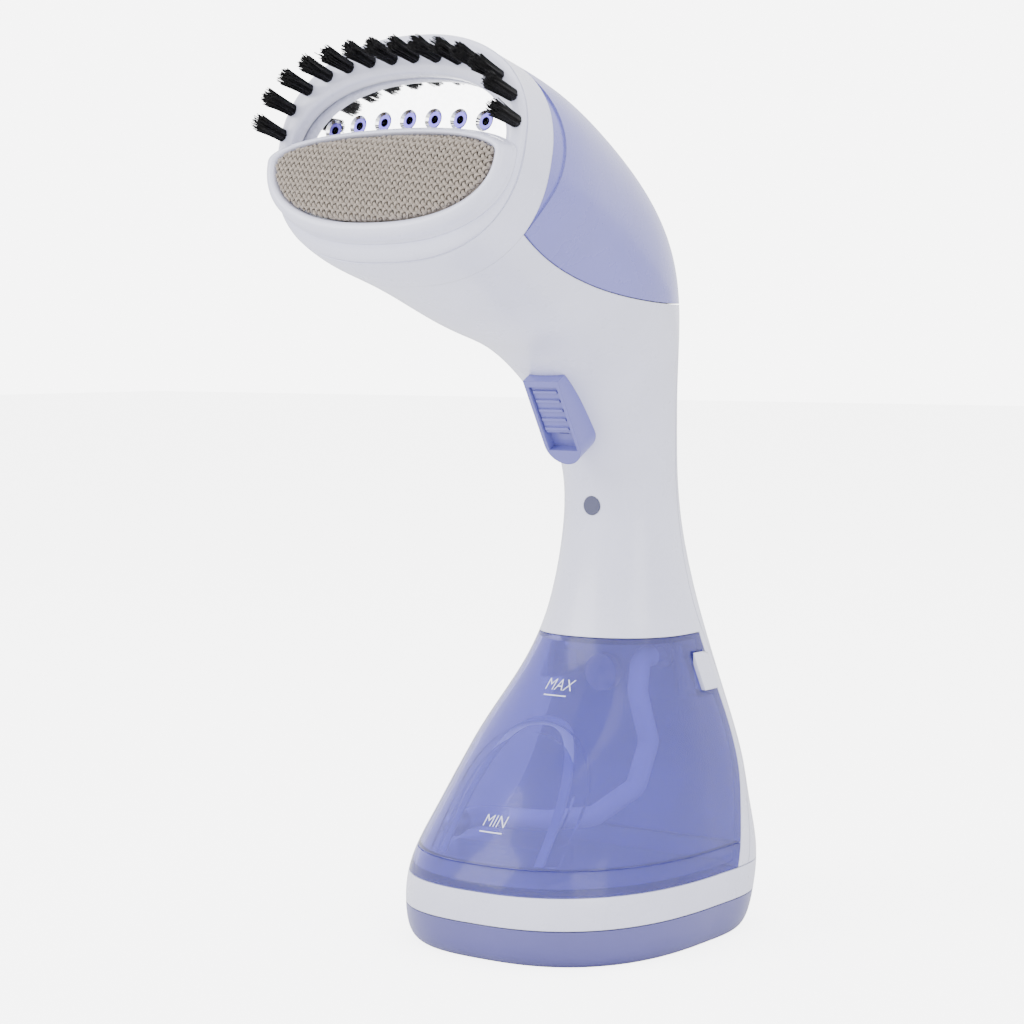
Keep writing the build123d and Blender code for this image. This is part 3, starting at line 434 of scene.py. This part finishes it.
def bristle_tufts():
    """Nylon bristles in fourteen tufts, each bristle its own tapered strand."""
    points, faces = [], []
    lean = Vector((0, math.sin(TUFT_LEAN), math.cos(TUFT_LEAN)))
    for u, v in tuft_spots():
        for k in range(BRISTLES):
            angle, radius = k * GOLDEN_TURN, math.sqrt((k + 0.5) / BRISTLES)
            across, up = radius * math.cos(angle), radius * math.sin(angle)
            length = TUFT_LENGTH * random.uniform(0.93, 1.03)
            stray = random.gauss(0, 0.18), random.gauss(0, 0.18)
            if random.random() < 0.02:
                stray = random.gauss(0, 1.1), random.gauss(0, 1.1)
            start = len(points)
            steps = 5
            for step in range(steps + 1):
                t = step / steps
                flare = 1 + TUFT_SPREAD / TUFT_ROOT * t ** 1.4
                du = across * TUFT_ROOT * flare + stray[0] * t * t
                dv = up * TUFT_ROOT * flare + stray[1] * t * t
                width = BRISTLE_WIDTH * (1 - 0.25 * t)
                for side in range(3):
                    turn = 2 * math.pi * side / 3 + k
                    points.append(face_point(u + du + width * math.cos(turn),
                                             v + dv + lean.y * length * t + width * math.sin(turn),
                                             -1.2 + lean.z * length * t))
            for step in range(steps):
                a = start + 3 * step
                for side in range(3):
                    near = (side + 1) % 3
                    faces.append((a + side, a + near, a + 3 + near, a + 3 + side))
            top = start + 3 * steps
            faces += [(top, top + 1, top + 2), (start + 2, start + 1, start)]
    piece = new_mesh("bristles", points, faces)
    return finish_piece(piece, "nozzle", "black_bristle", MATERIALS["black_bristle"], "bristle_tufts")


def pad_height(u, v):
    """How far out of the face the fabric lies, and None outside the pad."""
    half, below, above, middle = PAD
    rise = v - middle
    reach = (abs(u) / half) ** PAD_POWER + (abs(rise) / (above if rise > 0 else below)) ** PAD_POWER
    if reach > 1:
        return None
    return PAD_EDGE + PAD_CROWN * (1 - reach) ** 0.6


def thread(points, faces, spots, width, thick):
    """A flattened strand along spots of (across, up, out)."""
    sides = 6
    if len(spots) < 3:
        return
    start = len(points)
    for i, (u, v, out) in enumerate(spots):
        u0, v0, _ = spots[max(0, i - 1)]
        u1, v1, _ = spots[min(len(spots) - 1, i + 1)]
        run = math.hypot(u1 - u0, v1 - v0)
        side_u, side_v = -(v1 - v0) / run, (u1 - u0) / run
        for k in range(sides):
            turn = 2 * math.pi * k / sides
            across, lift = width * math.cos(turn), thick * math.sin(turn)
            points.append(face_point(u + side_u * across, v + side_v * across, out + lift))
    for i in range(len(spots) - 1):
        a = start + i * sides
        for k in range(sides):
            near = (k + 1) % sides
            faces.append((a + k, a + near, a + sides + near, a + sides + k))
    faces.append(tuple(start + k for k in reversed(range(sides))))
    faces.append(tuple(start + (len(spots) - 1) * sides + k for k in range(sides)))


def lint_pad():
    """Coarse woven pad: a crowned core under a plain weave of real threads."""
    points, faces = [], []
    half, below, above, middle = PAD
    levels = [(1.0, 0.2), (1.0, PAD_EDGE - CORE_DEPTH)]
    levels += [(math.cos(a * math.pi / 20), None) for a in range(1, 10)]
    count = 96
    for share, out in levels:
        for u, v in lobe(half * share, below * share, above * share, middle, PAD_POWER, PAD_POWER, count):
            lift = out
            if lift is None:
                lift = pad_height(u * 0.999, middle + (v - middle) * 0.999) - CORE_DEPTH
            points.append(face_point(u, v, lift))
    for r in range(len(levels) - 1):
        for i in range(count):
            j = (i + 1) % count
            faces.append((r * count + i, r * count + j, (r + 1) * count + j, (r + 1) * count + i))
    faces.append(tuple(reversed(range(count))))
    faces.append(tuple((len(levels) - 1) * count + i for i in range(count)))
    step = WEAVE_PITCH / WEAVE_STEPS
    reach = int(half / step) + 1
    lines = int(half / WEAVE_PITCH) + 1
    for way, sign in ((WEAVE_TURN, 1), (WEAVE_TURN + math.pi / 2, -1)):
        run_u, run_v = math.cos(way), math.sin(way)
        for n in range(-lines, lines + 1):
            spots = []
            aside = n * WEAVE_PITCH + random.uniform(-0.1, 0.1)
            for i in range(-reach, reach + 1):
                along = i * step
                u, v = along * run_u - aside * run_v, middle + along * run_v + aside * run_u
                height = pad_height(u, v)
                if height is None:
                    continue
                wave = math.cos(math.pi * along / WEAVE_PITCH) * (1 if n % 2 == 0 else -1) * sign
                spots.append((u, v, height + THREAD_WAVE * wave))
            thread(points, faces, spots, *THREAD)
    piece = new_mesh("lint_weave", points, faces)
    finish_piece(piece, "nozzle", "lint_fabric", MATERIALS["lint_fabric"], "lint_pad", "pad_backing")
    return piece


# ---------------------------------------------------------------- pump
def return_spring():
    """The pump's spring as wire, wound from its bottom up to its fixed top."""
    corners = [Vector(c) for c in frame["nodes"]["pump_spring"].bound_box]
    low = [min(c[k] for c in corners) for k in range(3)]
    high = [max(c[k] for c in corners) for k in range(3)]
    wire, x, y = SPRING_WIRE * MM, (low[0] + high[0]) / 2, (low[1] + high[1]) / 2
    radius = (high[0] - low[0]) / 2 - wire
    bottom, top = low[2] + wire, high[2] - wire
    points, faces, steps, sides = [], [], SPRING_TURNS * 24, 8
    for i in range(steps + 1):
        turn = 2 * math.pi * SPRING_TURNS * i / steps
        outward = Vector((math.cos(turn), math.sin(turn), 0))
        middle = Vector((x, y, bottom + (top - bottom) * i / steps)) + outward * radius
        for k in range(sides):
            angle = 2 * math.pi * k / sides
            points.append(middle + (outward * math.cos(angle) + Vector((0, 0, math.sin(angle)))) * wire)
    for i in range(steps):
        a = i * sides
        for k in range(sides):
            near = (k + 1) % sides
            faces.append((a + k, a + near, a + sides + near, a + sides + k))
    faces += [tuple(reversed(range(sides))), tuple(steps * sides + k for k in range(sides))]
    piece = new_mesh("pump_spring_wire", points, faces)
    finish_piece(piece, "casing", "heater_steel", MATERIALS["heater_steel"], "pump_spring")
    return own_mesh(piece)


# ---------------------------------------------------------------- tank marks
def tank_front():
    """A tree of the tank's faces, to lay details against its front."""
    tank = frame["nodes"]["tank_shell"].data
    return BVHTree.FromPolygons([v.co for v in tank.vertices], [tuple(p.vertices) for p in tank.polygons])


def level_mark(word, height):
    """A level word with a line under it, laid onto the front of the tank."""
    curve = bpy.data.curves.new(word, "FONT")
    curve.body = word
    curve.size = MARK_SIZE
    curve.align_x = "CENTER"
    curve.shear = 0.15
    curve.offset = -0.00004
    text = bpy.data.objects.new(word, curve)
    bpy.context.scene.collection.objects.link(text)
    bpy.context.view_layer.update()
    mesh = bpy.data.meshes.new_from_object(text)
    bpy.data.objects.remove(text)
    flat = [(p.co.x, p.co.y) for p in mesh.vertices]
    faces = [tuple(f.vertices) for f in mesh.polygons]
    lines = 12
    base = len(flat)
    for i in range(lines + 1):
        x = MARK_LINE * (i / lines - 0.5)
        flat += [(x, -0.00175), (x, -0.00140)]
    faces += [(base + 2 * i, base + 2 * i + 2, base + 2 * i + 3, base + 2 * i + 1) for i in range(lines)]
    tree = tank_front()
    points = []
    for x, y in flat:
        hit, normal, _, _ = tree.ray_cast(Vector((x, -0.3, height + y)), Vector((0, 1, 0)))
        points.append(hit + normal * MARK_LIFT)
    piece = new_mesh(f"mark_{word.lower()}", points, faces, smooth=False)
    return finish_piece(piece, "tank", "white_casing", MATERIALS["white_casing"])


def tank_arch():
    """Frosted arch rib that follows the inside of the tank's front wall."""
    tree = tank_front()
    points, faces, steps = [], [], 72
    half = ARCH_BAND / 2
    for i in range(steps + 1):
        angle = math.pi * i / steps
        for grow, depth in ((-half, 0), (half, 0), (half, 1), (-half, 1)):
            x = (ARCH_HALF + grow) * power(math.cos(angle), 0.8)
            z = ARCH_FOOT + (ARCH_RISE + grow) * power(math.sin(angle), 0.8)
            hit, _, _, _ = tree.ray_cast(Vector((x * MM, -0.3, z * MM)), Vector((0, 1, 0)))
            points.append(hit + Vector((0, (ARCH_INSET + depth) * MM, 0)))
    for i in range(steps):
        for k in range(4):
            near = (k + 1) % 4
            faces.append((4 * i + k, 4 * i + near, 4 * i + 4 + near, 4 * i + 4 + k))
    faces += [(3, 2, 1, 0), tuple(4 * steps + k for k in range(4))]
    piece = new_mesh("tank_arch", points, faces, smooth=False)
    return finish_piece(piece, "tank", "clear_lavender", MATERIALS["frosted_rib"])


# ---------------------------------------------------------------- surroundings
def studio():
    """Pale floor, soft lights and the camera."""
    size = 6.0
    floor = new_mesh("floor", [(-size, -size, 0), (size, -size, 0), (size, size, 0), (-size, size, 0)],
                     [(0, 1, 2, 3)], smooth=False)
    material, tree, shader = start_material("floor_paper")
    paper = noise(tree, 3, 4)
    tint = ramp(tree, paper.outputs["Fac"], (0.93, 0.93, 0.935), (0.95, 0.95, 0.955))
    tree.links.new(tint.outputs["Color"], shader.inputs["Base Color"])
    shader.inputs["Roughness"].default_value = 0.9
    shader.inputs["Emission Color"].default_value = (1, 1, 1, 1)
    path = tree.nodes.new("ShaderNodeLightPath")
    glow = spread(tree, path.outputs["Is Camera Ray"], 0.0, FLOOR_GLOW)
    tree.links.new(glow.outputs["Result"], shader.inputs["Emission Strength"])
    floor.data.materials.append(material)
    world = bpy.data.worlds.new("studio")
    world.use_nodes = True
    links, nodes = world.node_tree.links, world.node_tree.nodes
    path = nodes.new("ShaderNodeLightPath")
    gleam = nodes.new("ShaderNodeMapRange")
    gleam.inputs["To Min"].default_value = ROOM_LIGHT
    gleam.inputs["To Max"].default_value = ROOM_GLEAM
    shown = nodes.new("ShaderNodeMix")
    shown.inputs["B"].default_value = ROOM_SHOWN
    links.new(path.outputs["Is Glossy Ray"], gleam.inputs["Value"])
    links.new(path.outputs["Is Camera Ray"], shown.inputs["Factor"])
    links.new(gleam.outputs["Result"], shown.inputs["A"])
    links.new(shown.outputs["Result"], nodes["Background"].inputs["Strength"])
    nodes["Background"].inputs["Color"].default_value = (1.0, 1.0, 1.0, 1)
    bpy.context.scene.world = world
    for name, spot, width, watts in LIGHTS:
        light = bpy.data.lights.new(name, "AREA")
        light.shape = "RECTANGLE"
        light.size = width
        light.size_y = width * 1.3
        light.energy = watts
        lamp = bpy.data.objects.new(name, light)
        lamp.location = spot
        lamp.rotation_euler = (Vector((0, 0, 0.15)) - lamp.location).to_track_quat("-Z", "Y").to_euler()
        bpy.context.scene.collection.objects.link(lamp)
    camera = bpy.data.cameras.new("camera")
    camera.lens = CAMERA_LENS
    camera.sensor_width = 36.0
    camera.clip_start = 0.01
    eye = bpy.data.objects.new("camera", camera)
    eye.location = CAMERA_PLACE
    eye.rotation_euler = (Vector(CAMERA_AIM) - eye.location).to_track_quat("-Z", "Y").to_euler()
    bpy.context.scene.collection.objects.link(eye)
    bpy.context.scene.camera = eye


studio()
dress_cad_nodes()
nozzle_ring()
pad_frame()
bristle_tufts()
lint_pad()
return_spring()
level_mark("MAX", 0.0815)
level_mark("MIN", 0.0415)
tank_arch()

bpy.context.view_layer.update()
